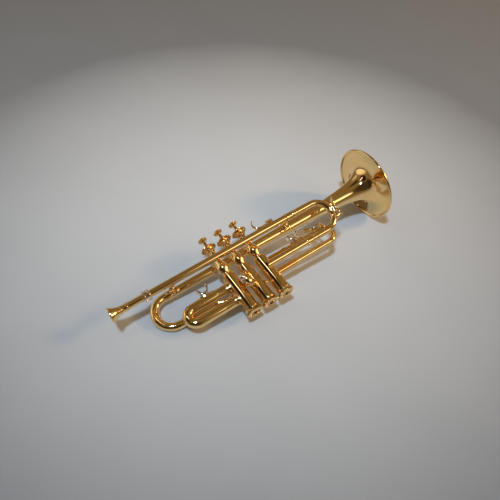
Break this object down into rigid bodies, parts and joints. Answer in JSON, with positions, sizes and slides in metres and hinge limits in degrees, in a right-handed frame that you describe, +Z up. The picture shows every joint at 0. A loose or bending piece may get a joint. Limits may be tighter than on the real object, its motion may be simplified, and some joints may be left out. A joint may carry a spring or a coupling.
{
  "type": "trumpet",
  "caption": "Piston-valve trumpet lying on its side, with pressable valves, pull-out slides, hinged water keys and a removable mouthpiece.",
  "frame": {"origin": "middle of the footprint's bounding box, on the table the instrument lies on", "axes": "+Z up from the table, +X along the instrument's length towards the bell, +Y towards the finger buttons; the bell is raised by the tilt that its rim gives it"},
  "size_m": [0.4733, 0.1636, 0.1215],
  "materials": {
    "gold_plate": "gold plate, polished",
    "pale_gold_plate": "paler, brightly polished plate",
    "nickel": "ground nickel, stands for the pistons' nickel silver",
    "spring_steel": "drawn wire",
    "felt": "pressed felt",
    "cork": "cut cork, no gloss"
  },
  "bodies": {
    "instrument": {"bell": "gold_plate", "bell_bow": "gold_plate", "bottom_cap_1": "gold_plate", "bottom_cap_2": "gold_plate", "bottom_cap_3": "gold_plate", "casing_knuckle_1": "gold_plate", "casing_knuckle_2": "gold_plate", "finger_hook": "gold_plate", "first_slide_lower_sleeve": "gold_plate", "first_slide_upper_sleeve": "gold_plate", "front_brace": "gold_plate", "leadpipe": "gold_plate", "leadpipe_brace_1": "gold_plate", "leadpipe_brace_3": "gold_plate", "lyre_holder": "gold_plate", "mouthpiece_receiver": "pale_gold_plate", "rear_brace": "gold_plate", "second_slide_lower_sleeve": "gold_plate", "second_slide_upper_sleeve": "gold_plate", "third_slide_lower_sleeve": "gold_plate", "third_slide_upper_sleeve": "gold_plate", "top_cap_1": "gold_plate", "top_cap_2": "gold_plate", "top_cap_3": "gold_plate", "tuning_lower_sleeve": "gold_plate", "valve_casing_1": "gold_plate", "valve_casing_2": "gold_plate", "valve_casing_3": "gold_plate", "valve_spring_1": "spring_steel", "valve_spring_2": "spring_steel", "valve_spring_3": "spring_steel"},
    "mouthpiece": {"mouthpiece": "gold_plate"},
    "valve_1": {"piston_1": "nickel", "valve_stem_1": "gold_plate", "stem_felt_1": "felt", "finger_button_1": "pale_gold_plate"},
    "valve_2": {"piston_2": "nickel", "valve_stem_2": "gold_plate", "stem_felt_2": "felt", "finger_button_2": "pale_gold_plate"},
    "valve_3": {"piston_3": "nickel", "valve_stem_3": "gold_plate", "stem_felt_3": "felt", "finger_button_3": "pale_gold_plate"},
    "tuning_slide": {"tuning_slide_crook": "gold_plate", "main_water_key_seat": "gold_plate", "main_water_key_pin": "spring_steel"},
    "main_water_key": {"main_water_key_lever": "gold_plate", "main_water_key_cork": "cork"},
    "first_slide": {"first_slide_crook": "gold_plate", "thumb_saddle": "gold_plate"},
    "second_slide": {"second_slide_crook": "gold_plate", "second_slide_knob": "pale_gold_plate"},
    "third_slide": {"third_slide_crook": "gold_plate", "third_slide_finger_saddle": "gold_plate", "third_water_key_seat": "gold_plate", "third_water_key_pin": "spring_steel"},
    "third_water_key": {"third_water_key_lever": "gold_plate", "third_water_key_cork": "cork"}
  },
  "joints": [
    {"name": "mouthpiece_pull", "type": "slide", "parent": "instrument", "child": "mouthpiece", "axis": [-0.9931, 0, -0.1174], "range_m": [0, 0.024]},
    {"name": "valve_1_press", "type": "slide", "parent": "instrument", "child": "valve_1", "axis": [0.0207, -0.9843, -0.1755], "range_m": [0, 0.013], "stiffness_N_per_m": 120, "springref_m": -0.015, "deforming": ["valve_spring_1"]},
    {"name": "valve_2_press", "type": "slide", "parent": "instrument", "child": "valve_2", "axis": [0.0207, -0.9843, -0.1755], "range_m": [0, 0.013], "stiffness_N_per_m": 120, "springref_m": -0.015, "deforming": ["valve_spring_2"]},
    {"name": "valve_3_press", "type": "slide", "parent": "instrument", "child": "valve_3", "axis": [0.0207, -0.9843, -0.1755], "range_m": [0, 0.013], "stiffness_N_per_m": 120, "springref_m": -0.015, "deforming": ["valve_spring_3"]},
    {"name": "tuning_slide_pull", "type": "slide", "parent": "instrument", "child": "tuning_slide", "axis": [0.9931, 0, 0.1174], "range_m": [0, 0.03]},
    {"name": "main_water_key_press", "type": "hinge", "parent": "tuning_slide", "child": "main_water_key", "pos_m": [0.13255, -0.0108, 0.07682], "axis": [-0.1079, -0.3944, 0.9126], "range_deg": [0, 14]},
    {"name": "first_slide_pull", "type": "slide", "parent": "instrument", "child": "first_slide", "axis": [-0.9931, 0, -0.1174], "range_m": [0, 0.012]},
    {"name": "second_slide_pull", "type": "slide", "parent": "instrument", "child": "second_slide", "axis": [-0.6707, -0.1439, 0.7276], "range_m": [0, 0.0045]},
    {"name": "third_slide_pull", "type": "slide", "parent": "instrument", "child": "third_slide", "axis": [0.9931, 0, 0.1174], "range_m": [0, 0.025]},
    {"name": "third_water_key_press", "type": "hinge", "parent": "third_slide", "child": "third_water_key", "pos_m": [0.09422, -0.00997, 0.05167], "axis": [-0.1155, -0.1767, 0.9775], "range_deg": [0, 14]}
  ]
}
